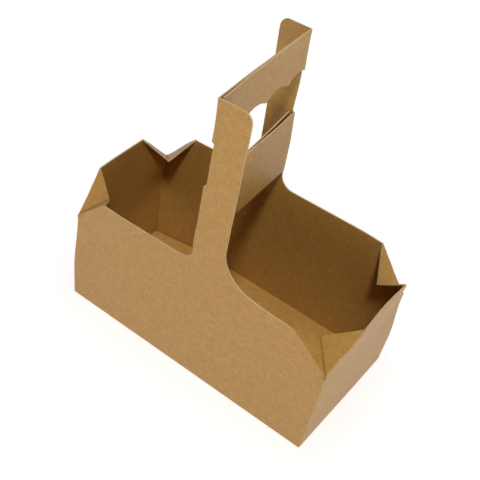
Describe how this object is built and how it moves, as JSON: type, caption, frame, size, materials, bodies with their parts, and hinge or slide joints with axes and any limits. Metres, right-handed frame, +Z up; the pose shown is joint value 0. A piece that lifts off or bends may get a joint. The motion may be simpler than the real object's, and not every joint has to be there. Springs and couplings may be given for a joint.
{
  "type": "cup carrier",
  "caption": "Folded kraft board carrier for hot drinks: an open box with pushed-in top corners, a middle divider and a tall carrying handle with a scalloped hand hole.",
  "frame": {"origin": "middle of the base's underside, in the plane of the divider", "axes": "+X along the long walls, +Y from the front long wall to the back long wall, +Z up through the handle"},
  "size_m": [0.1759, 0.083, 0.189],
  "materials": {
    "kraft_board": "matte, uncoated brown kraft with fine fibre flecks"
  },
  "bodies": {
    "root": {"cup_carrier": "kraft_board"}
  },
  "joints": []
}
